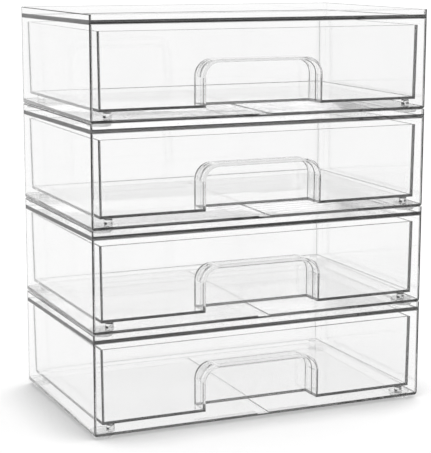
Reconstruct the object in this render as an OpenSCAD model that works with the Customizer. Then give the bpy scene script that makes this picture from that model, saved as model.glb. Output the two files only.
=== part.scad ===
// Stackable clear drawer organizer: four open-fronted cases stand on each other's rims,
// and a pull-out tray with an arched finger recess runs in each case.
// X is the width, the open fronts face -Y, and +Z is up. The origin lies on the surface
// that the lowest pads stand on, under the middle of the stack. All sizes are in millimetres.

/* [Case] */
// Outer width of a case
case_w = 318; // [260:1:380]
// Outer depth of a case
case_d = 190.5; // [150:0.5:260]
// Height from a case's lower edge to its rim, which is also the stacking pitch
case_h = 89; // [80:0.5:130]
// Thickness of the side walls and the back wall
wall_t = 2.3; // [1.8:0.1:3.5]
// Thickness of the floor at its front edge
floor_t = 2.6; // [2:0.1:4]
// How far the floor's upper face rises from front to back, which frees the moulding core
floor_rise = 1.9; // [0:0.1:3]
// Thickness of the top panel
panel_t = 2.6; // [2:0.1:4]
// How far the top panel falls from front to back, for the same reason
panel_fall = 1.4; // [0:0.1:3]
// Depth of the rim above the panel's front edge
rim_depth = 5.8; // [4.6:0.1:9]
// Thickness of the rim wall
rim_t = 2.2; // [1.6:0.1:3]
// Radius of the two long lower edges
lower_edge_r = 2.8; // [1:0.1:4]
// Radius of the two upright rear corners
rear_corner_r = 4; // [4:0.1:8]
// Width of the shallow groove along the middle of the floor
groove_w = 11; // [6:0.5:20]
// Depth of that groove
groove_depth = 0.9; // [0.4:0.1:1.2]

/* [Drawer] */
// Thickness of the drawer's four walls
drawer_wall_t = 2.3; // [1.6:0.1:3.5]
// Thickness of the drawer's floor
drawer_floor_t = 2.2; // [1.6:0.1:3.5]
// Free space between the drawer and each side wall of its case
side_gap = 5.2; // [2:0.1:9]
// Free space under the drawer at the front edge of the case floor
under_gap = 6.5; // [5:0.1:9]
// Free space over the drawer, which lets its feet be lifted over the stop bumps
over_gap = 5.4; // [4.5:0.1:9]
// How far the drawer's face stands behind the front edge of the case
set_back = 2.8; // [1:0.1:6]
// Free space between the closed drawer and the back wall
back_gap = 0.5; // [0.3:0.1:3]
// How much narrower each side of the drawer is at its floor than at its rim
side_draft = 0.8; // [0:0.1:1.5]
// How much shorter the drawer is at its floor than at its rim
rear_draft = 1.6; // [0:0.1:3]

/* [Finger recess] */
// Inner width of the arched recess
recess_w = 109; // [70:1:150]
// Height of the recess above the drawer's lower edge
recess_h = 38; // [28:0.5:44]
// Depth of the recess behind the drawer's face
recess_depth = 20.7; // [14:0.1:35]
// Radius of the recess's two upper corners
recess_r = 13.2; // [6:0.1:20]
// Depth at which the small step runs round the inside of the recess
step_depth = 9; // [4:0.1:12]
// Size of that step
step_t = 0.5; // [0.3:0.1:0.9]

/* [Stops and pads] */
// Diameter of the stop bumps on the case floor and of the drawer's rear feet
stop_d = 7; // [5:0.1:9]
// Distance from the drawer's side to the middle of a bump or foot
stop_inset = 8.5; // [6:0.1:16]
// Distance from the case's front edge to the middle of a stop bump
bump_inset = 6; // [5:0.1:10]
// Distance from the drawer's lower rear edge to the middle of a rear foot
foot_inset = 7; // [5.5:0.1:12]
// Diameter of the round foot pads
pad_d = 18.6; // [10:0.1:26]
// Height of the pads below the case's lower edge
pad_proud = 3; // [1.5:0.1:4]
// Depth of the seats that hold the pads in the underside of the floor
pad_seat = 0.8; // [0.4:0.1:1.2]
// Gap between a pad and the inside of the rim it hangs in
pad_rim_gap = 0.8; // [0.4:0.1:6]

/* [Clearances] */
// Running gap under the drawer at its bumps and feet
run_gap = 0.3; // [0.2:0.05:0.4]
// Gap round a pad in its seat
pad_gap = 0.15; // [0.1:0.05:0.3]

/* [Hidden] */
$fn = 64;
through = 1;
edge_round = 1;
front_y = -case_d / 2;
rear_y = case_d / 2;
bay_d = case_d - wall_t;
bay_w = case_w - 2 * wall_t;
panel_under_z = case_h - rim_depth - panel_t;
drawer_w = bay_w - 2 * side_gap;
drawer_front_y = front_y + set_back;
drawer_rear_y = rear_y - wall_t - back_gap;
drawer_low_z = floor_t + under_gap;
drawer_top_z = panel_under_z - over_gap;
stop_x = drawer_w / 2 - side_draft - stop_inset;
bump_y = front_y + bump_inset;
foot_y = drawer_rear_y - rear_draft - foot_inset;
pad_inset = rim_t + pad_rim_gap + pad_d / 2;
pad_x = case_w / 2 - pad_inset;
pad_y = case_d / 2 - pad_inset;

LEFT = -1;
RIGHT = 1;
FRONT = -1;
REAR = 1;

// Height of the lower edge of the case at a level, where level 0 is the bottom case
function level_z(level) = pad_proud + level * case_h;

// Share of the bay's depth that lies in front of y
function depth_share(y) = (y - front_y) / bay_d;

// Upper face of the case floor at y
function floor_z(y) = floor_t + floor_rise * depth_share(y);

// Lower face of the top panel at y
function ceiling_z(y) = panel_under_z - panel_fall * depth_share(y);

// Share of the drawer's height that lies below its rim at z, for the draft of its walls
function below_rim(z) = (drawer_top_z - z) / (drawer_top_z - drawer_low_z);

// Outer face of the drawer's side at z
function drawer_side_x(z) = drawer_w / 2 - side_draft * below_rim(z);

// Outer face of the drawer's rear wall at z
function drawer_back_y(z) = drawer_rear_y - rear_draft * below_rim(z);

// Stretches a side-view outline, drawn with y across and z up, over a width centred on X
module along_x(width) {
    translate([-width / 2, 0, 0])
        rotate([90, 0, 90])
            linear_extrude(height = width)
                children();
}

// Stretches a front-view outline, drawn with x across and z up, from one depth to another
module along_y(from_y, to_y) {
    translate([0, to_y, 0])
        rotate([90, 0, 0])
            linear_extrude(height = to_y - from_y)
                children();
}

// Front view of a case's outside: square above, with two rounded lower edges
module case_outline() {
    half = case_w / 2;
    translate([-half, lower_edge_r])
        square([case_w, case_h - lower_edge_r]);
    translate([lower_edge_r - half, 0])
        square([case_w - 2 * lower_edge_r, case_h]);
    for (side = [LEFT, RIGHT])
        translate([side * (half - lower_edge_r), lower_edge_r])
            circle(r = lower_edge_r);
}

// Plan of a rectangle whose two rear corners are rounded
module rear_rounded_plan(width, from_y, to_y, corner_r) {
    translate([-width / 2, from_y])
        square([width, to_y - from_y - corner_r]);
    translate([corner_r - width / 2, from_y])
        square([width - 2 * corner_r, to_y - from_y]);
    for (side = [LEFT, RIGHT])
        translate([side * (width / 2 - corner_r), to_y - corner_r])
            circle(r = corner_r);
}

// Front view of an arch that stands on the drawer's lower edge
module arch_outline(width, height, corner_r) {
    translate([-width / 2, -through])
        square([width, height - corner_r + through]);
    translate([corner_r - width / 2, -through])
        square([width - 2 * corner_r, height + through]);
    for (side = [LEFT, RIGHT])
        translate([side * (width / 2 - corner_r), height - corner_r])
            circle(r = corner_r);
}

// Upright stud with a rounded upper edge, standing on z = 0
module rounded_stud(diameter, height) {
    rotate_extrude() {
        square([diameter / 2, height - edge_round]);
        square([diameter / 2 - edge_round, height]);
        translate([diameter / 2 - edge_round, height - edge_round])
            circle(r = edge_round);
    }
}

// Space inside a case, between the rising floor and the falling panel, open at the front
module drawer_bay() {
    open_y = front_y - through;
    end_y = front_y + bay_d;
    intersection() {
        along_x(bay_w)
            polygon([
                [open_y, floor_z(open_y)],
                [end_y, floor_z(end_y)],
                [end_y, ceiling_z(end_y)],
                [open_y, ceiling_z(open_y)],
            ]);
        linear_extrude(height = case_h)
            rear_rounded_plan(bay_w, open_y, end_y, rear_corner_r - wall_t);
    }
}

// Shallow recess inside the rim, over the sloping panel
module rim_recess() {
    top_z = case_h + through;
    intersection() {
        along_x(case_w)
            polygon([
                [front_y, ceiling_z(front_y) + panel_t],
                [rear_y, ceiling_z(rear_y) + panel_t],
                [rear_y, top_z],
                [front_y, top_z],
            ]);
        linear_extrude(height = top_z)
            rear_rounded_plan(case_w - 2 * rim_t, front_y + rim_t, rear_y - rim_t, rear_corner_r - rim_t);
    }
}

// Shallow groove down the middle of the floor, open at the front edge
module floor_groove() {
    open_y = front_y - through;
    end_y = front_y + bay_d;
    along_x(groove_w)
        polygon([
            [open_y, floor_z(open_y) - groove_depth],
            [end_y, floor_z(end_y) - groove_depth],
            [end_y, floor_z(end_y) + through],
            [open_y, floor_z(open_y) + through],
        ]);
}

// Round seat for a pad in the underside of the floor
module pad_seat_cut(side, end) {
    translate([side * pad_x, end * pad_y, -through])
        cylinder(d = pad_d + 2 * pad_gap, h = pad_seat + through);
}

// Bump on the case floor that carries the drawer's front end and stops its rear feet
module stop_bump(side) {
    root_z = (pad_seat + floor_t - groove_depth) / 2;
    translate([side * stop_x, bump_y, root_z])
        rounded_stud(stop_d, drawer_low_z - run_gap - root_z);
}

// One moulded case with its rim, floor, panel and stop bumps
module case_shell(level) {
    color("whitesmoke", 0.4)
        translate([0, 0, level_z(level)]) {
            difference() {
                intersection() {
                    along_y(front_y, rear_y)
                        case_outline();
                    linear_extrude(height = case_h)
                        rear_rounded_plan(case_w, front_y, rear_y, rear_corner_r);
                }
                drawer_bay();
                rim_recess();
                floor_groove();
                for (side = [LEFT, RIGHT], end = [FRONT, REAR])
                    pad_seat_cut(side, end);
            }
            for (side = [LEFT, RIGHT])
                stop_bump(side);
        }
}

// Block with the drawer's drafted outside, drawn in from its walls by an inset
module drafted_block(inset, from_z, to_z) {
    low_x = drawer_side_x(from_z) - inset;
    high_x = drawer_side_x(to_z) - inset;
    front_edge_y = drawer_front_y + inset;
    intersection() {
        along_y(drawer_front_y, drawer_rear_y)
            polygon([
                [-low_x, from_z],
                [low_x, from_z],
                [high_x, to_z],
                [-high_x, to_z],
            ]);
        along_x(case_w)
            polygon([
                [front_edge_y, from_z],
                [drawer_back_y(from_z) - inset, from_z],
                [drawer_back_y(to_z) - inset, to_z],
                [front_edge_y, to_z],
            ]);
    }
}

// Wall round the finger recess, from the drawer's face to the recess's back wall
module recess_wall() {
    intersection() {
        along_y(drawer_front_y, drawer_front_y + recess_depth + drawer_wall_t)
            translate([0, drawer_low_z])
                arch_outline(recess_w + 2 * drawer_wall_t, recess_h + drawer_wall_t, recess_r + drawer_wall_t);
        along_x(case_w)
            translate([drawer_front_y, drawer_low_z])
                square([case_d, recess_h + drawer_wall_t]);
    }
}

// Open arch of the finger recess, a little narrower behind its step
module recess_cut() {
    step_y = drawer_front_y + step_depth;
    translate([0, 0, drawer_low_z]) {
        along_y(drawer_front_y - through, step_y)
            arch_outline(recess_w, recess_h, recess_r);
        along_y(drawer_front_y - through, drawer_front_y + recess_depth)
            arch_outline(recess_w - 2 * step_t, recess_h - step_t, recess_r - step_t);
    }
}

// Small foot under the drawer's rear end, rounded where it slides on the case floor
module rear_foot(side) {
    root_z = drawer_low_z + drawer_floor_t / 2;
    foot_low_z = floor_z(foot_y + stop_d / 2) + run_gap;
    translate([side * stop_x, foot_y, root_z])
        rotate([180, 0, 0])
            rounded_stud(stop_d, root_z - foot_low_z);
}

// One moulded drawer with its finger recess and rear feet
module drawer_tray(level) {
    color("ghostwhite", 0.4)
        translate([0, 0, level_z(level)]) {
            difference() {
                union() {
                    difference() {
                        drafted_block(0, drawer_low_z, drawer_top_z);
                        drafted_block(drawer_wall_t, drawer_low_z + drawer_floor_t, drawer_top_z + through);
                    }
                    recess_wall();
                }
                recess_cut();
            }
            for (side = [LEFT, RIGHT])
                rear_foot(side);
        }
}

// One soft round pad in its seat, with a rounded lower edge
module foot_pad(level, side, end) {
    color("silver", 0.7)
        translate([side * pad_x, end * pad_y, level_z(level) + pad_seat])
            rotate([180, 0, 0])
                rounded_stud(pad_d, pad_seat + pad_proud);
}

case_shell(0);  // bottom_case
case_shell(1);  // second_case
case_shell(2);  // third_case
case_shell(3);  // top_case
drawer_tray(0);  // bottom_drawer
drawer_tray(1);  // second_drawer
drawer_tray(2);  // third_drawer
drawer_tray(3);  // top_drawer
foot_pad(0, LEFT, FRONT);  // bottom_case_front_left_pad
foot_pad(0, RIGHT, FRONT);  // bottom_case_front_right_pad
foot_pad(0, LEFT, REAR);  // bottom_case_rear_left_pad
foot_pad(0, RIGHT, REAR);  // bottom_case_rear_right_pad
foot_pad(1, LEFT, FRONT);  // second_case_front_left_pad
foot_pad(1, RIGHT, FRONT);  // second_case_front_right_pad
foot_pad(1, LEFT, REAR);  // second_case_rear_left_pad
foot_pad(1, RIGHT, REAR);  // second_case_rear_right_pad
foot_pad(2, LEFT, FRONT);  // third_case_front_left_pad
foot_pad(2, RIGHT, FRONT);  // third_case_front_right_pad
foot_pad(2, LEFT, REAR);  // third_case_rear_left_pad
foot_pad(2, RIGHT, REAR);  // third_case_rear_right_pad
foot_pad(3, LEFT, FRONT);  // top_case_front_left_pad
foot_pad(3, RIGHT, FRONT);  // top_case_front_right_pad
foot_pad(3, LEFT, REAR);  // top_case_rear_left_pad
foot_pad(3, RIGHT, REAR);  // top_case_rear_right_pad
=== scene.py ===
import math

import bpy
from mathutils import Euler, Matrix, Vector


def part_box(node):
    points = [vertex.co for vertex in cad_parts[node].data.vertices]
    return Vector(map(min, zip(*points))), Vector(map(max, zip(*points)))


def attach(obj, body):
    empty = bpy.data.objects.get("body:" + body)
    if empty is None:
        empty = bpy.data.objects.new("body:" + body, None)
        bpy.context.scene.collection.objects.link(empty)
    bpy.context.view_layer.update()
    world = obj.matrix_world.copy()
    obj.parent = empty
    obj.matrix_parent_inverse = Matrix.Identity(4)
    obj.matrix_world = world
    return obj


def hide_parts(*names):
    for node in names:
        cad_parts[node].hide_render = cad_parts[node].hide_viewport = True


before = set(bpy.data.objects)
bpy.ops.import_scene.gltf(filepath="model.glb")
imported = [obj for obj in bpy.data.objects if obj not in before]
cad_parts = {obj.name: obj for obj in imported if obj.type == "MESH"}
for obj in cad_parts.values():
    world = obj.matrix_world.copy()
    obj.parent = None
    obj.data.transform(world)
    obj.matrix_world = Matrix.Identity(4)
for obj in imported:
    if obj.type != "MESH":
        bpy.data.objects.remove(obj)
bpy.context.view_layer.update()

# ---------------------------------------------------------------- sizes, in metres
# The lowest case and its drawer give every level: the others are copies one pitch further up.
CASE_LOW, CASE_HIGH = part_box("bottom_case")
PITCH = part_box("second_case")[0].z - CASE_LOW.z
HALF_W = CASE_HIGH.x
FRONT_Y = CASE_LOW.y
REAR_Y = CASE_HIGH.y
LOW_Z = CASE_LOW.z
RIM_Z = CASE_HIGH.z
LEVELS = ("bottom", "second", "third", "top")

# The case: walls, a floor that rises and a panel that falls to the rear, a rim, and a groove.
WALL = 0.0023
FLOOR = 0.0026
FLOOR_RISE = 0.0019
PANEL = 0.0026
PANEL_FALL = 0.0014
RIM_DEPTH = 0.0058
RIM_WALL = 0.0022
LOWER_EDGE_R = 0.0028
REAR_CORNER_R = 0.004
GROOVE_W = 0.011
GROOVE_DEPTH = 0.0009

# The drawer, and the room that the case leaves round it.
DRAWER_WALL = 0.0023
DRAWER_FLOOR = 0.0022
SIDE_DRAFT = 0.0008
REAR_DRAFT = 0.0016
SIDE_GAP = 0.0052
UNDER_GAP = 0.0065
OVER_GAP = 0.0054
SET_BACK = 0.0028
BACK_GAP = 0.0005

# The finger recess: its back is a little narrower than its mouth.
RECESS_W = 0.109
RECESS_H = 0.038
RECESS_DEPTH = 0.0207
RECESS_R = 0.0132
STEP_DEPTH = 0.009
STEP = 0.0005
SHELL_R = 0.0022  # rounding of the rear edges of the wall round the recess
LIP_R = 0.0005  # rounding of the edges that the fingers touch

# Bumps on the case's floor and feet under the drawer's rear, which stop the drawer.
STOP_D = 0.007
STOP_INSET = 0.0085
BUMP_INSET = 0.006
FOOT_INSET = 0.007
RUN_GAP = 0.0003
STUD_ROUND = 0.001

# The soft pads, each in a seat, with a shallow dish underneath.
PAD_LOW, PAD_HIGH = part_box("bottom_case_front_right_pad")
PAD_D = PAD_HIGH.x - PAD_LOW.x
PAD_X = (PAD_LOW.x + PAD_HIGH.x) / 2
PAD_Y = abs(PAD_LOW.y + PAD_HIGH.y) / 2
PAD_GAP = 0.00015
PAD_SEAT = 0.0008
PAD_DISH_RIM = 0.0022
PAD_DISH_DEPTH = 0.0004

# What follows from these.
BAY_DEPTH = REAR_Y - WALL - FRONT_Y
BAY_HALF_W = HALF_W - WALL
CEILING_Z = RIM_Z - RIM_DEPTH - PANEL
DRAWER_HALF_W = BAY_HALF_W - SIDE_GAP
DRAWER_FRONT_Y = FRONT_Y + SET_BACK
DRAWER_REAR_Y = REAR_Y - WALL - BACK_GAP
DRAWER_LOW_Z = LOW_Z + FLOOR + UNDER_GAP
DRAWER_TOP_Z = CEILING_Z - OVER_GAP
DRAWER_H = DRAWER_TOP_Z - DRAWER_LOW_Z
STOP_X = DRAWER_HALF_W - SIDE_DRAFT - STOP_INSET
BUMP_Z = DRAWER_LOW_Z - RUN_GAP

# Where the painted shade changes: in clear plastic what is seen end on looks dark, so these bands
# have that shade painted into their colour.
CASE_SHADED_END = 0.0013  # how much of a side wall's end shows the length of the wall
DRAWER_SHADED_END = 0.0006
SHADED_PANEL = (0.0005, 0.0038)  # the band round the top panel, above its underside
SHADED_BUMP = (0.004, 0.006)  # the band on a bump's flanks, above the underside of the case
SHADED_RIM = 0.0008  # the line along the top of the rim

# Modelling.
THROUGH = 0.001  # how far a cutting block reaches past a face
TOUCH = 0.00003  # what parts two mouldings that stand on each other
MOULD_EDGE = 0.00022  # radius of an edge as it leaves the mould
NARROW = 0.0016  # a face narrower than this belongs to a rounding
NEAR = 0.00001  # two places this close are the same
DOUBLED = 2e-6  # two points this close are merged
SHARP_TURN = math.radians(28)  # edges that turn further get the mould edge
SMOOTH_TURN = math.radians(50)  # edges that turn less are shaded smooth
FLAT_TURN = math.radians(0.05)  # faces that turn less are one face

STUD_SIDES = 48
PAD_SIDES = 64
STUD_STEPS = 4
LIP_STEPS = 4
SHELL_STEPS = 5
INNER_STEPS = 6
OUTER_STEPS = 8
ARCH_STEPS = 18
MOULD_STEPS = 2

# How much of a face's normal lies along an axis.
FACING = 0.9  # at least this much: the face looks along the axis
UPRIGHT = 0.1  # less than this along z: the face is upright
FLANK = 0.6  # at least this much along x: the left and right of a bump
BUMP_TOP = 0.95  # less than this along z: not the flat top of a bump
LEANING = 0.3  # at least this much along x: the upper part of the lower rounding
LEVEL_EDGE = 0.5  # less than this along y: the face isn't turned to the front or rear
ROUNDED = (0.05, 0.98)  # between these along y: the rounding of a front or rear edge

# The material slots of a moulding: clear, then ends and edges in painted shade. The last is the
# case's or the drawer's own painted shade.
FACES, PAINTED_SHADE_ENDS, EDGES, OWN_PAINTED_SHADE = 0, 1, 2, 3


def floor_z(y):
    """Height of the rising floor of the case."""
    return LOW_Z + FLOOR + FLOOR_RISE * (y - FRONT_Y) / BAY_DEPTH


def ceiling_z(y):
    """Height of the underside of the top panel."""
    return CEILING_Z - PANEL_FALL * (y - FRONT_Y) / BAY_DEPTH


def drawer_share(z):
    """How far down the drafted walls of the drawer a height is: 0 at the top, 1 at the floor."""
    return (DRAWER_TOP_Z - z) / DRAWER_H


# ---------------------------------------------------------------- modelling by hand
def only(piece):
    """Selects one piece and makes it active."""
    bpy.ops.object.select_all(action="DESELECT")
    piece.select_set(True)
    bpy.context.view_layer.objects.active = piece


def place_primitive(name):
    """Names the primitive just added and applies its place and size to its mesh."""
    bpy.ops.object.transform_apply(location=True, rotation=True, scale=True)
    bpy.context.object.name = name
    return bpy.context.object


def block(name, low, high):
    """A cube primitive that fills the space from one corner to the other."""
    low, high = Vector(low), Vector(high)
    bpy.ops.object.select_all(action="DESELECT")
    bpy.ops.mesh.primitive_cube_add(size=1, location=(low + high) / 2, scale=high - low)
    return place_primitive(name)


def stud(name, x, y, low_z, high_z, diameter, round_z, sides=STUD_SIDES):
    """An upright cylinder primitive whose end at round_z has a rounded edge."""
    place = (x, y, (low_z + high_z) / 2)
    bpy.ops.object.select_all(action="DESELECT")
    bpy.ops.mesh.primitive_cylinder_add(
        vertices=sides, radius=diameter / 2, depth=high_z - low_z, location=place
    )
    piece = place_primitive(name)
    round_edges(
        piece, lambda a, b: max(abs(a.z - round_z), abs(b.z - round_z)) < NEAR,
        STUD_ROUND, STUD_STEPS,
    )
    return piece


def edit(piece, kind, action="SELECT"):
    """Opens the piece for editing, with all its vertices, edges or faces selected, or none."""
    only(piece)
    bpy.ops.object.mode_set(mode="EDIT")
    bpy.ops.mesh.select_mode(type=kind)
    bpy.ops.mesh.select_all(action=action)


def done():
    bpy.ops.object.mode_set(mode="OBJECT")


def pick(piece, kind, test):
    """Opens the piece for editing, with the vertices, edges or faces that pass the test selected.

    The kind is set first, because a flag set in another kind spreads to its neighbours.
    """
    edit(piece, kind, "DESELECT")
    done()
    mesh = piece.data
    for item in {"VERT": mesh.vertices, "EDGE": mesh.edges, "FACE": mesh.polygons}[kind]:
        item.select = test(item)
    bpy.ops.object.mode_set(mode="EDIT")


def shift(piece, test, offset):
    """Moves the vertices whose place passes the test."""
    pick(piece, "VERT", lambda vertex: test(vertex.co))
    bpy.ops.transform.translate(value=offset)
    done()


def round_edges(piece, test, radius, steps):
    """Rounds the edges whose two ends pass the test."""
    points = piece.data.vertices
    pick(piece, "EDGE", lambda edge: test(*(points[i].co for i in edge.vertices)))
    bpy.ops.mesh.bevel(
        offset=radius, offset_type="OFFSET", segments=steps, affect="EDGES", clamp_overlap=False
    )
    done()


def split(piece, place, normal, test):
    """Draws a line across the faces that pass the test, where a plane meets them."""
    pick(piece, "FACE", lambda face: test(face.normal, face.center))
    bpy.ops.mesh.bisect(plane_co=place, plane_no=normal)
    done()


def combine(piece, tool, operation):
    """Cuts a tool out of a piece, or joins or intersects the two, and removes the tool."""
    only(piece)
    modifier = piece.modifiers.new("shape", "BOOLEAN")
    modifier.operation = operation
    modifier.solver = "EXACT"
    modifier.object = tool
    bpy.ops.object.modifier_apply(modifier=modifier.name)
    bpy.data.objects.remove(tool)


def merge(piece):
    """Merges what a cut or a rounding has left doubled."""
    edit(piece, "VERT")
    bpy.ops.mesh.remove_doubles(threshold=DOUBLED)
    bpy.ops.mesh.dissolve_degenerate(threshold=DOUBLED)
    done()


def join_flat_faces(piece):
    """Joins the faces that a cut has split without need."""
    merge(piece)
    edit(piece, "VERT")
    bpy.ops.mesh.dissolve_limited(angle_limit=FLAT_TURN, delimit={"MATERIAL"})
    done()


def round_as_moulded(piece, edge_slot):
    """Rounds every sharp edge as a mould leaves it, and gives the roundings a material slot, which
    on the mouldings is the edges' painted shade.
    """
    join_flat_faces(piece)
    modifier = piece.modifiers.new("mould radius", "BEVEL")
    modifier.width = MOULD_EDGE
    modifier.segments = MOULD_STEPS
    modifier.limit_method = "ANGLE"
    modifier.angle_limit = SHARP_TURN
    modifier.use_clamp_overlap = False
    modifier.material = edge_slot
    bpy.ops.object.modifier_apply(modifier=modifier.name)
    merge(piece)


def shade(piece):
    """Shades roundings smooth and the wide faces flat, as polished sheet is."""
    only(piece)
    bpy.ops.object.shade_smooth_by_angle(angle=SMOOTH_TURN)
    vertices = piece.data.vertices

    def wide(face):
        # The width of a strip is about twice its area over its outline.
        points = [vertices[i].co for i in face.vertices]
        around = sum((a - b).length for a, b in zip(points, points[1:] + points[:1]))
        return 2 * face.area > NARROW * around

    pick(piece, "FACE", wide)
    bpy.ops.mesh.faces_shade_flat()
    done()


def slanted_block(name, half_w, from_y, to_y, low, high):
    """A block whose lower and upper faces follow two heights that change with y."""
    piece = block(name, (-half_w, from_y, low(from_y)), (half_w, to_y, high(from_y)))
    middle_y, middle_z = (from_y + to_y) / 2, (low(from_y) + high(from_y)) / 2
    lower = (lambda p: p.y > middle_y and p.z < middle_z, low(to_y) - low(from_y))
    upper = (lambda p: p.y > middle_y and p.z > middle_z, high(to_y) - high(from_y))
    # Where both rise the upper one goes first, so that no point passes the middle and moves twice.
    for test, rise in (upper, lower) if low(to_y) >= low(from_y) else (lower, upper):
        shift(piece, test, (0, 0, rise))
    return piece


def upright_at(rear_y):
    """A test for the upright edges at the rear of a block."""
    return lambda a, b: abs(a.z - b.z) > THROUGH and min(a.y, b.y) > rear_y - NEAR


# ---------------------------------------------------------------- the case
def case_outside():
    """Two rounded rear corners, and long rounded edges under the sides."""
    low, high = (-HALF_W, FRONT_Y, LOW_Z + TOUCH), (HALF_W, REAR_Y, RIM_Z - TOUCH)
    case = block("case", low, high)
    round_edges(case, upright_at(REAR_Y), REAR_CORNER_R, OUTER_STEPS)
    shell = block(
        "shell",
        (-HALF_W, FRONT_Y - THROUGH, LOW_Z + TOUCH),
        (HALF_W, REAR_Y + THROUGH, RIM_Z + THROUGH),
    )

    def under_side(a, b):
        return abs(a.y - b.y) > BAY_DEPTH / 2 and max(a.z, b.z) < LOW_Z + TOUCH + NEAR

    round_edges(shell, under_side, LOWER_EDGE_R, INNER_STEPS)
    combine(case, shell, "INTERSECT")
    return case


def hollow_case(case):
    """The bay that the drawer slides in, the tray of the rim, and the groove along the floor."""
    bay_rear_y, rim_rear_y = REAR_Y - WALL, REAR_Y - RIM_WALL
    bay = slanted_block("bay", BAY_HALF_W, FRONT_Y - THROUGH, bay_rear_y, floor_z, ceiling_z)
    round_edges(bay, upright_at(bay_rear_y), REAR_CORNER_R - WALL, INNER_STEPS)
    combine(case, bay, "DIFFERENCE")
    rim = slanted_block(
        "rim", HALF_W - RIM_WALL, FRONT_Y + RIM_WALL, rim_rear_y,
        lambda y: ceiling_z(y) + PANEL, lambda y: RIM_Z + THROUGH,
    )
    round_edges(rim, upright_at(rim_rear_y), REAR_CORNER_R - RIM_WALL, INNER_STEPS)
    combine(case, rim, "DIFFERENCE")
    groove = slanted_block(
        "groove", GROOVE_W / 2, FRONT_Y - THROUGH, bay_rear_y - WALL,
        lambda y: floor_z(y) - GROOVE_DEPTH, lambda y: floor_z(y) + THROUGH,
    )
    combine(case, groove, "DIFFERENCE")


def fit_case(case):
    """The seats of the four pads, and the two bumps that carry the drawer's front."""
    below_z, seat_z = LOW_Z - 2 * THROUGH, LOW_Z + PAD_SEAT + TOUCH
    for x in (-PAD_X, PAD_X):
        for y in (-PAD_Y, PAD_Y):
            seat = stud("seat", x, y, below_z, seat_z, PAD_D + 2 * PAD_GAP, below_z)
            combine(case, seat, "DIFFERENCE")
    for x in (-STOP_X, STOP_X):
        bump = stud("bump", x, FRONT_Y + BUMP_INSET, LOW_Z + FLOOR / 2, BUMP_Z, STOP_D, BUMP_Z)
        combine(case, bump, "UNION")


def is_case_front(normal, centre):
    return normal.y < -FACING and centre.y < FRONT_Y + NEAR


def is_case_side(normal, centre):
    return abs(normal.x) > FACING and abs(centre.x) > HALF_W - NEAR


def is_bump(centre):
    """Whether a place is over or on one of the two bumps."""
    across, along = abs(centre.x) - STOP_X, centre.y - FRONT_Y - BUMP_INSET
    return math.hypot(across, along) < STOP_D / 2


def draw_case_lines(case):
    """Splits the outside of the case where its painted shade changes."""
    fall = PANEL_FALL / BAY_DEPTH
    for height in (*SHADED_PANEL, PANEL):
        split(
            case, (0, FRONT_Y, CEILING_Z + height), (0, fall, 1),
            lambda n, c: is_case_side(n, c) or is_case_front(n, c),
        )
    split(case, (0, 0, LOW_Z + FLOOR), (0, 0, 1), is_case_front)
    shaded_x = HALF_W - CASE_SHADED_END
    for x in (-shaded_x, -BAY_HALF_W, BAY_HALF_W, shaded_x):
        split(case, (x, 0, 0), (1, 0, 0), is_case_front)
    split(case, (0, 0, RIM_Z - SHADED_RIM), (0, 0, 1), is_case_side)
    for height in SHADED_BUMP:
        split(
            case, (0, 0, LOW_Z + height), (0, 0, 1),
            lambda n, c: abs(n.z) < UPRIGHT and is_bump(c),
        )


def painted_shade_of_case_side(centre, panel_height, in_panel_band):
    """The slot of a face of the side: painted shade on the panel band, and on the rim line on the
    left only. On the right it leaves out what shows through the rim.
    """
    left = centre.x < 0
    if in_panel_band:
        return PAINTED_SHADE_ENDS if left or panel_height < PANEL else FACES
    return PAINTED_SHADE_ENDS if left and centre.z > RIM_Z - SHADED_RIM else FACES


def painted_shade_of_case(normal, centre):
    """The slot of a face of the case: clear, or painted shade on the ends of walls, the panel
    band, the floor's end, bump flanks and the lower left rounded edge.
    """
    panel_height = centre.z - ceiling_z(centre.y)
    in_panel_band = SHADED_PANEL[0] < panel_height < SHADED_PANEL[1]
    if is_case_front(normal, centre):
        wall = abs(centre.x) > HALF_W - CASE_SHADED_END
        return PAINTED_SHADE_ENDS if in_panel_band or wall or centre.z < LOW_Z + FLOOR else FACES
    if is_case_side(normal, centre):
        return painted_shade_of_case_side(centre, panel_height, in_panel_band)
    # Painted shade on the upper part of the lower rounded edge, on the left side only.
    low_left = centre.z < LOW_Z + LOWER_EDGE_R and centre.x < LOWER_EDGE_R - HALF_W
    if low_left and normal.x < -LEANING:
        return OWN_PAINTED_SHADE
    flank = abs(normal.x) > FLANK and SHADED_BUMP[0] < centre.z - LOW_Z < SHADED_BUMP[1]
    rounded_top = centre.z > BUMP_Z - STUD_ROUND and normal.z < BUMP_TOP
    return PAINTED_SHADE_ENDS if is_bump(centre) and (flank or rounded_top) else FACES


def model_case():
    case = case_outside()
    hollow_case(case)
    fit_case(case)
    draw_case_lines(case)
    for face in case.data.polygons:
        face.material_index = painted_shade_of_case(face.normal, face.center)
    return case


def clear_middle(case, up):
    """Clears the painted shade from the rounded edges of the groove, and from those that cross the
    middle near floor and rim.
    """
    for face in case.data.polygons:
        height = face.center.z - up
        low = height < LOW_Z + FLOOR + FLOOR_RISE + NEAR
        middle = abs(face.center.x) < GROOVE_W and abs(face.normal.y) < LEVEL_EDGE
        if middle and (low or height > PITCH):
            face.material_index = FACES


# ---------------------------------------------------------------- the drawer
def drafted_block(name, inset, low_z, high_z):
    """The drawer's outside, or its hollow: narrower and shorter towards the floor."""
    half_w = DRAWER_HALF_W - inset
    front_y, rear_y = DRAWER_FRONT_Y + inset, DRAWER_REAR_Y - inset
    piece = block(name, (-half_w, front_y, low_z), (half_w, rear_y, high_z))
    for level in (low_z, high_z):
        side, rear = SIDE_DRAFT * drawer_share(level), REAR_DRAFT * drawer_share(level)
        shift(piece, lambda p: abs(p.z - level) < NEAR and p.x > 0, (-side, 0, 0))
        shift(piece, lambda p: abs(p.z - level) < NEAR and p.x < 0, (side, 0, 0))
        shift(piece, lambda p: abs(p.z - level) < NEAR and p.y > 0, (0, -rear, 0))
    return piece


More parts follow.
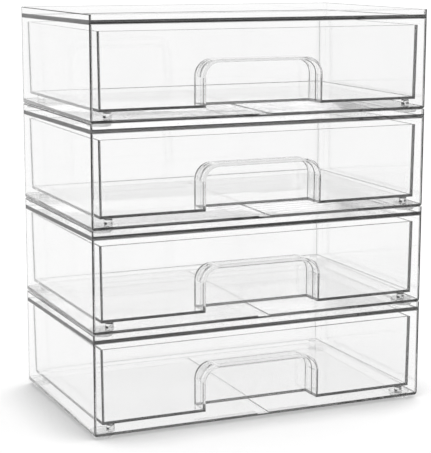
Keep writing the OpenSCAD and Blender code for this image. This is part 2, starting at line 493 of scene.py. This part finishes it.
def arch(name, margin, radius, low_z, from_y, to_y):
    """A block with two rounded upper edges, as wide and high as the recess and a margin."""
    half_w, top_z = RECESS_W / 2 + margin, DRAWER_LOW_Z + RECESS_H + margin
    piece = block(name, (-half_w, from_y, low_z), (half_w, to_y, top_z))
    round_edges(
        piece, lambda a, b: abs(a.y - b.y) > THROUGH and min(a.z, b.z) > top_z - NEAR,
        radius, ARCH_STEPS,
    )
    return piece


def on_arch(point, y):
    """Whether a point is on the arch of the recess, at that depth and above the drawer's floor."""
    across, high = abs(point.x), point.z - DRAWER_LOW_Z
    near = abs(across - RECESS_W / 2) < 2 * STEP or abs(high - RECESS_H) < 2 * STEP
    corner_x, corner_z = RECESS_W / 2 - RECESS_R, RECESS_H - RECESS_R
    if across > corner_x and high > corner_z:
        near = abs(math.hypot(across - corner_x, high - corner_z) - RECESS_R) < 2 * STEP
    within = across < RECESS_W / 2 + NEAR and high < RECESS_H + NEAR
    return near and within and abs(point.y - y) < NEAR


def shape_recess(drawer):
    """The finger recess: an arched pocket pressed into the front, with a step part of the way."""
    back_y = DRAWER_FRONT_Y + RECESS_DEPTH
    shell_y = back_y + DRAWER_WALL
    below_z, before_y = DRAWER_LOW_Z - THROUGH, DRAWER_FRONT_Y - THROUGH
    shell = arch(
        "shell", DRAWER_WALL, RECESS_R + DRAWER_WALL, DRAWER_LOW_Z, DRAWER_FRONT_Y, shell_y
    )

    def rear_of_shell(a, b):
        return min(a.y, b.y) > shell_y - NEAR and max(a.z, b.z) > DRAWER_LOW_Z + NEAR

    round_edges(shell, rear_of_shell, SHELL_R, SHELL_STEPS)
    combine(drawer, shell, "UNION")
    mouth = arch("mouth", 0, RECESS_R, below_z, before_y, DRAWER_FRONT_Y + STEP_DEPTH)
    combine(drawer, mouth, "DIFFERENCE")
    pocket = arch("pocket", -STEP, RECESS_R - STEP, below_z, before_y, back_y)
    combine(drawer, pocket, "DIFFERENCE")
    join_flat_faces(drawer)
    for y in (DRAWER_FRONT_Y, back_y):
        round_edges(drawer, lambda a, b: on_arch(a, y) and on_arch(b, y), LIP_R, LIP_STEPS)


def add_feet(drawer):
    """Two feet under the rear, which meet the bumps when the drawer is out."""
    foot_y = DRAWER_REAR_Y - REAR_DRAFT - FOOT_INSET
    foot_z = floor_z(foot_y + STOP_D / 2) + RUN_GAP
    for x in (-STOP_X, STOP_X):
        foot = stud("foot", x, foot_y, foot_z, DRAWER_LOW_Z + DRAWER_FLOOR / 2, STOP_D, foot_z)
        combine(drawer, foot, "UNION")


def is_drawer_front(normal, centre):
    return normal.y < -FACING and centre.y < DRAWER_FRONT_Y + NEAR


def is_recess_line(normal, centre):
    """The step part of the way into the recess, and the rounded edge at its back."""
    depth = centre.y - DRAWER_FRONT_Y
    step = abs(depth - STEP_DEPTH) < NEAR and normal.y < -FACING
    rounded = ROUNDED[0] < abs(normal.y) < ROUNDED[1] and abs(depth - RECESS_DEPTH) < LIP_R
    top_z = DRAWER_LOW_Z + RECESS_H + LIP_R
    return step or rounded and abs(centre.x) < RECESS_W / 2 + LIP_R and centre.z < top_z


def draw_drawer_lines(drawer):
    """Splits the front of the drawer where its painted shade changes, along its leaning side
    walls.
    """
    inside_x, lean = DRAWER_HALF_W - DRAWER_SHADED_END, SIDE_DRAFT / DRAWER_H
    for side in (-1, 1):
        place, normal = (side * inside_x, 0, DRAWER_TOP_Z), (1, 0, -side * lean)
        split(drawer, place, normal, is_drawer_front)
    split(drawer, (0, 0, DRAWER_LOW_Z + DRAWER_FLOOR), (0, 0, 1), is_drawer_front)


def painted_shade_of_drawer(normal, centre):
    """The slot of a face of the drawer: painted shade on the recess lines and on the ends of its
    walls and floor.
    """
    if is_recess_line(normal, centre):
        return OWN_PAINTED_SHADE
    wall_x = DRAWER_HALF_W - DRAWER_SHADED_END - SIDE_DRAFT * drawer_share(centre.z)
    end_on = abs(centre.x) > wall_x or centre.z < DRAWER_LOW_Z + DRAWER_FLOOR
    return PAINTED_SHADE_ENDS if is_drawer_front(normal, centre) and end_on else FACES


def model_drawer():
    drawer = drafted_block("drawer", 0, DRAWER_LOW_Z, DRAWER_TOP_Z)
    floor_top_z = DRAWER_LOW_Z + DRAWER_FLOOR
    hollow = drafted_block("hollow", DRAWER_WALL, floor_top_z, DRAWER_TOP_Z + THROUGH)
    combine(drawer, hollow, "DIFFERENCE")
    shape_recess(drawer)
    add_feet(drawer)
    draw_drawer_lines(drawer)
    for face in drawer.data.polygons:
        face.material_index = painted_shade_of_drawer(face.normal, face.center)
    return drawer


# ---------------------------------------------------------------- the pad
def model_pad():
    """A soft round pad with a rounded lower edge and a shallow dish in its underside."""
    pad = stud("pad", 0, 0, PAD_LOW.z, PAD_HIGH.z - TOUCH, PAD_D, PAD_LOW.z, PAD_SIDES)
    pick(pad, "FACE", lambda f: f.normal.z < -FACING and f.center.z < PAD_LOW.z + NEAR)
    bpy.ops.mesh.inset(thickness=PAD_DISH_RIM, depth=0)
    bpy.ops.mesh.inset(thickness=PAD_DISH_DEPTH, depth=0)
    bpy.ops.transform.translate(value=(0, 0, PAD_DISH_DEPTH))
    done()
    return pad


# ---------------------------------------------------------------- shader tools
class Value:
    """A shader socket with a number in it, for plain arithmetic."""

    def __init__(self, tree, socket):
        self.tree = tree
        self.socket = socket

    def maths(self, operation, first, second):
        node = self.tree.nodes.new("ShaderNodeMath")
        node.operation = operation
        for slot, value in zip(node.inputs, (first, second)):
            if isinstance(value, Value):
                self.tree.links.new(value.socket, slot)
            else:
                slot.default_value = value
        return Value(self.tree, node.outputs[0])

    def __add__(self, other):
        return self.maths("ADD", self, other)

    __radd__ = __add__

    def __mul__(self, other):
        return self.maths("MULTIPLY", self, other)

    __rmul__ = __mul__

    def or_more(self, other):
        """The greater of the two."""
        return self.maths("MAXIMUM", self, other)


class Shader:
    """The node tree of a material or of the world, cleared and ready to fill."""

    MIX_FACTOR, MIX_FIRST, MIX_SECOND, MIX_COLOUR = 0, 6, 7, 2  # the colour sockets of a Mix node

    def __init__(self, owner):
        owner.use_nodes = True
        self.tree = owner.node_tree
        self.tree.nodes.clear()

    def node(self, kind, settings=None, sockets=None):
        """A node of that type: its settings are set first, then its sockets' values or links."""
        node = self.tree.nodes.new("ShaderNode" + kind)
        for key, value in (settings or {}).items():
            if key == "stops":
                self.set_stops(node.color_ramp, value)
            else:
                setattr(node, key, value)
        for key, value in (sockets or {}).items():
            slot = node.inputs[key]
            if isinstance(value, Value):
                self.tree.links.new(value.socket, slot)
            elif isinstance(value, bpy.types.NodeSocket):
                self.tree.links.new(value, slot)
            else:
                slot.default_value = value
        return node

    def set_stops(self, ramp, stops):
        while len(ramp.elements) < len(stops):
            ramp.elements.new(0.5)  # the loop below places it
        for element, (position, level) in zip(ramp.elements, stops):
            element.position = position
            element.color = grey(level)

    def value(self, socket):
        return Value(self.tree, socket)

    def place(self):
        """Where a point of the piece is, in the piece's own coordinates."""
        return self.node("TexCoord").outputs["Object"]

    def mapped(self, vector, **sockets):
        return self.node("Mapping", None, {"Vector": vector, **sockets}).outputs[0]

    def noise(self, vector, scale, detail=2.0, roughness=0.5):
        sockets = {"Vector": vector, "Scale": scale, "Detail": detail, "Roughness": roughness}
        return self.value(self.node("TexNoise", None, sockets).outputs["Fac"])

    def ramp(self, value, stops):
        node = self.node("ValToRGB", {"stops": stops}, {"Fac": value})
        return self.value(node.outputs["Color"])

    def blend(self, factor, first, second):
        """A colour between two colours."""
        sockets = {self.MIX_FACTOR: factor, self.MIX_FIRST: first, self.MIX_SECOND: second}
        return self.node("Mix", {"data_type": "RGBA"}, sockets).outputs[self.MIX_COLOUR]

    def bump(self, height, strength, distance):
        sockets = {"Strength": strength, "Distance": distance, "Height": height}
        return self.node("Bump", None, sockets).outputs["Normal"]

    def finish(self, surface, volume=None):
        sockets = {"Surface": surface.outputs[0]}
        if volume:
            sockets["Volume"] = volume.outputs[0]
        self.node("OutputMaterial", None, sockets)


def grey(level):
    return (level, level, level, 1)


# ---------------------------------------------------------------- materials
# Absorption per metre: a wall is clear across its thickness and grey along its length.
CASE_ABSORPTION = 2.0
DRAWER_ABSORPTION = 8.5
PLASTIC_IOR = 1.49

# The materials of the two mouldings in the order of their slots: a name, and how much light
# passes. Below 1 that is painted shade for ends and edges seen end on.
CASE_FINISHES_AND_SHADES = (
    ("clear plastic", 1.0), ("wall ends in painted shade", 0.04), ("mould edges in painted shade", 0.25), ("lower rounding in painted shade", 0.9),
)
DRAWER_FINISHES_AND_SHADES = (
    ("clear plastic", 1.0), ("wall ends in painted shade", 0.5), ("mould edges in painted shade", 0.6),
    ("finger recess edges in painted shade", 0.015),
)
CASE_SEED, DRAWER_SEED = 0.0, 3.0  # where in the noise a moulding's marks are taken from
SEED_WAY = (1, 0.7, 0.3)

# Smudges of handling: soft patches, a little duller and darker.
SMUDGE_SCALE, SMUDGE_DETAIL, SMUDGE_ROUGHNESS = 14, 4, 0.6
SMUDGE_STOPS = ((0.5, 0), (0.74, 1))
SMUDGE_SHADE, SMUDGE_DULL = 0.985, 0.006

# Hairlines: noise drawn out into fine strokes.
HAIRLINE_TURN, HAIRLINE_STRETCH, HAIRLINE_SCALE = (0.2, 0.5, 0.9), (6, 260, 260), 3
HAIRLINE_STOPS = ((0.68, 0), (0.74, 1))
HAIRLINE_DULL = 0.012

# Flow: long waves from the mould, with a trace of grain on them.
FLOW_SCALE, GRAIN_SCALE, GRAIN_SHARE = 9, 420, 0.01
FLOW_STRENGTH, FLOW_HEIGHT = 0.02, 0.0001

RUBBER_TONES = (0.88, 0.97)
RUBBER_CLOUD_SCALE, RUBBER_GRAIN_SCALE, RUBBER_DETAIL = 120, 900, 3
RUBBER_SMOOTHEST, RUBBER_DULL = 0.15, 0.15
RUBBER_IOR, RUBBER_CLEAR = 1.41, 0.9
RUBBER_STRENGTH, RUBBER_HEIGHT = 0.2, 0.00006


def clear_plastic(name, seed, painted_shade_tint, absorption):
    """Clear moulded plastic: polished, with faint smudges, hairlines and flow waves, and a tint
    that paints shade on ends and edges.
    """
    material = bpy.data.materials.new(name)
    shader = Shader(material)
    moved = shader.mapped(shader.place(), Location=[seed * way for way in SEED_WAY])
    smudge = shader.ramp(
        shader.noise(moved, SMUDGE_SCALE, SMUDGE_DETAIL, SMUDGE_ROUGHNESS), SMUDGE_STOPS
    )
    strokes = shader.mapped(moved, Rotation=HAIRLINE_TURN, Scale=HAIRLINE_STRETCH)
    hairline = shader.ramp(shader.noise(strokes, HAIRLINE_SCALE), HAIRLINE_STOPS)
    flow = shader.noise(moved, FLOW_SCALE) + shader.noise(moved, GRAIN_SCALE) * GRAIN_SHARE
    surface = shader.node("BsdfPrincipled", None, {
        # A tint below 1 is painted shade: it darkens ends and edges as seeing them end on does.
        "Base Color": shader.blend(smudge, grey(painted_shade_tint), grey(painted_shade_tint * SMUDGE_SHADE)),
        "Roughness": smudge * SMUDGE_DULL + hairline * HAIRLINE_DULL,
        "IOR": PLASTIC_IOR,
        "Transmission Weight": 1.0,
        "Normal": shader.bump(flow, FLOW_STRENGTH, FLOW_HEIGHT),
    })
    inside = shader.node("VolumeAbsorption", None, {"Color": grey(0), "Density": absorption})
    shader.finish(surface, inside)
    return material


def moulding_materials(kind, seed, absorption, finishes_and_shades):
    """The materials of a moulding, one for each finish, most of them painted shade."""
    return [clear_plastic(f"{kind} {name}", seed, painted_shade_tint, absorption) for name, painted_shade_tint in finishes_and_shades]


def pad_rubber():
    """Milky soft rubber with a fine grain."""
    material = bpy.data.materials.new("soft clear rubber")
    shader = Shader(material)
    place = shader.place()
    grain = shader.noise(place, RUBBER_GRAIN_SCALE, RUBBER_DETAIL)
    cloud = shader.noise(place, RUBBER_CLOUD_SCALE, RUBBER_DETAIL)
    surface = shader.node("BsdfPrincipled", None, {
        "Base Color": shader.blend(cloud, *(grey(tone) for tone in RUBBER_TONES)),
        "Roughness": cloud * RUBBER_DULL + RUBBER_SMOOTHEST,
        "IOR": RUBBER_IOR,
        "Transmission Weight": RUBBER_CLEAR,
        "Normal": shader.bump(grain, RUBBER_STRENGTH, RUBBER_HEIGHT),
    })
    shader.finish(surface)
    return material


# ---------------------------------------------------------------- pieces on their bodies
def stand_in(model, name, offset, materials, body, node):
    """A copy of a model, with its own mesh: it rides on a body and stands for a CAD node."""
    piece = model.copy()
    piece.data = model.data.copy()
    piece.name = name
    bpy.context.scene.collection.objects.link(piece)
    only(piece)
    piece.location = offset
    bpy.ops.object.transform_apply(location=True, rotation=True, scale=True)
    for material in materials:
        piece.data.materials.append(material)
    round_as_moulded(piece, min(EDGES, len(materials) - 1))
    shade(piece)
    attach(piece, body)
    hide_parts(node)
    return piece


def build_unit(level, up, models, finishes_and_shades):
    """A case with its drawer and its four pads."""
    case, drawer, pad = models
    case_finish_and_shades, drawer_finish_and_shades, rubber = finishes_and_shades
    case_unit, drawer_unit = f"{level}_case_unit", f"{level}_drawer_unit"
    moulding = stand_in(
        case, f"{level}_case_moulding", (0, 0, up), case_finish_and_shades,
        case_unit, f"{level}_case",
    )
    clear_middle(moulding, up)
    stand_in(
        drawer, f"{level}_drawer_moulding", (0, 0, up), drawer_finish_and_shades,
        drawer_unit, f"{level}_drawer",
    )
    for end, y in (("front", -PAD_Y), ("rear", PAD_Y)):
        for side, x in (("left", -PAD_X), ("right", PAD_X)):
            stand_in(
                pad, f"{level}_{end}_{side}_soft_pad", (x, y, up), rubber,
                case_unit, f"{level}_case_{end}_{side}_pad",
            )


def build_stack():
    """Four units, each on the rim of the one below."""
    models = model_case(), model_drawer(), model_pad()
    finishes_and_shades = (
        moulding_materials("case", CASE_SEED, CASE_ABSORPTION, CASE_FINISHES_AND_SHADES),
        moulding_materials("drawer", DRAWER_SEED, DRAWER_ABSORPTION, DRAWER_FINISHES_AND_SHADES),
        [pad_rubber()],
    )
    for number, level in enumerate(LEVELS):
        build_unit(level, number * PITCH, models, finishes_and_shades)
    for model in models:
        bpy.data.objects.remove(model)


# ---------------------------------------------------------------- studio
# The camera was solved from the sixteen outer corners of the stack in the photo.
IMAGE_W, IMAGE_H = 431, 453
FOCAL_PIXELS = 1506.2
SENSOR = 36.0
CAMERA_PLACE = (-0.5643, -1.2558, 0.4087)
CAMERA_TURN = 24.03
CAMERA_DROP = 10.33
CAMERA_ROLL = 0.12

# The floor: white paint, the reach of the shadow round what stands on it, and how the floor is
# lit for the camera and for what is seen through the plastic.
FLOOR_SIZE = 60
FLOOR_PAINT = 0.95
CONTACT_REACH = 0.07
CONTACT_SAMPLES = 8
HALO_STOPS = ((0.45, 0.5), (0.85, 1.0))
DIRECT_LIGHT, DIRECT_SHARE = 1.2, 0.6
THROUGH_SHARE = 0.85

ROOM_STOPS = ((0, 0.97), (0.3, 0.9), (1, 1.0))  # the room's tone from the horizon to overhead
KEY_PLACE, KEY_AIM = (0.9, 0.5, 1.6), (0, 0, 0.15)
KEY_SIZE = (1.2, 1.2)
KEY_POWER = 6
BOUNCES = 512  # enough for light that runs along inside a wall


def make_camera():
    data = bpy.data.cameras.new("camera")
    data.sensor_width = SENSOR
    data.lens = FOCAL_PIXELS * SENSOR / max(IMAGE_W, IMAGE_H)
    camera = bpy.data.objects.new("camera", data)
    bpy.context.scene.collection.objects.link(camera)
    aim = Euler((math.radians(90 - CAMERA_DROP), 0, math.radians(-CAMERA_TURN)))
    roll = Matrix.Rotation(math.radians(CAMERA_ROLL), 4, "Z")
    camera.matrix_world = Matrix.Translation(CAMERA_PLACE) @ aim.to_matrix().to_4x4() @ roll
    bpy.context.scene.camera = camera


def floor_paint():
    """White, with a soft shadow close round whatever stands on it."""
    material = bpy.data.materials.new("white floor")
    shader = Shader(material)
    rays = shader.node("LightPath").outputs
    direct = shader.value(rays["Is Camera Ray"])
    mirrored = shader.value(rays["Is Glossy Ray"])
    through = shader.value(rays["Is Transmission Ray"]).or_more(mirrored)
    reach = {"Distance": CONTACT_REACH}
    contact = shader.node("AmbientOcclusion", {"samples": CONTACT_SAMPLES}, reach).outputs["AO"]
    halo = shader.ramp(contact, HALO_STOPS)
    paint = shader.node("BsdfDiffuse", None, {"Color": grey(FLOOR_PAINT)})
    strength = direct * halo * DIRECT_LIGHT + through
    light = shader.node("Emission", None, {"Color": grey(1.0), "Strength": strength})
    share = direct * DIRECT_SHARE + through * THROUGH_SHARE
    shader.finish(
        shader.node("MixShader", None, {0: share, 1: paint.outputs[0], 2: light.outputs[0]})
    )
    return material


def make_floor():
    bpy.ops.object.select_all(action="DESELECT")
    bpy.ops.mesh.primitive_plane_add(size=FLOOR_SIZE, location=(0, 0, 0))
    floor = bpy.context.object
    floor.name = "floor"
    floor.data.materials.append(floor_paint())


def make_world():
    """White all round, and a little darker where polished faces mirror the room."""
    world = bpy.data.worlds.new("studio")
    bpy.context.scene.world = world
    shader = Shader(world)
    rays = shader.node("LightPath").outputs
    camera = shader.value(rays["Is Camera Ray"])
    seen = camera.or_more(shader.value(rays["Is Transmission Ray"]))
    sky_place = {"Vector": shader.node("TexCoord").outputs["Generated"]}
    height = shader.node("SeparateXYZ", None, sky_place).outputs["Z"]
    room = shader.ramp(height, ROOM_STOPS).socket
    colour = shader.blend(seen, room, grey(1.0))
    sky = shader.node("Background", None, {"Color": colour, "Strength": 1.0})
    shader.node("OutputWorld", None, {"Surface": sky.outputs[0]})


def make_key_light():
    data = bpy.data.lights.new("key softbox", "AREA")
    data.shape = "RECTANGLE"
    data.size, data.size_y = KEY_SIZE
    data.energy = KEY_POWER
    lamp = bpy.data.objects.new("key softbox", data)
    bpy.context.scene.collection.objects.link(lamp)
    lamp.location = KEY_PLACE
    way = Vector(KEY_AIM) - Vector(KEY_PLACE)
    lamp.rotation_euler = way.to_track_quat("-Z", "Y").to_euler()


def make_studio():
    make_camera()
    make_floor()
    make_world()
    make_key_light()
    scene = bpy.context.scene
    scene.view_settings.view_transform = "Standard"
    scene.cycles.max_bounces = BOUNCES
    scene.cycles.transmission_bounces = BOUNCES
    scene.cycles.glossy_bounces = BOUNCES


build_stack()
make_studio()
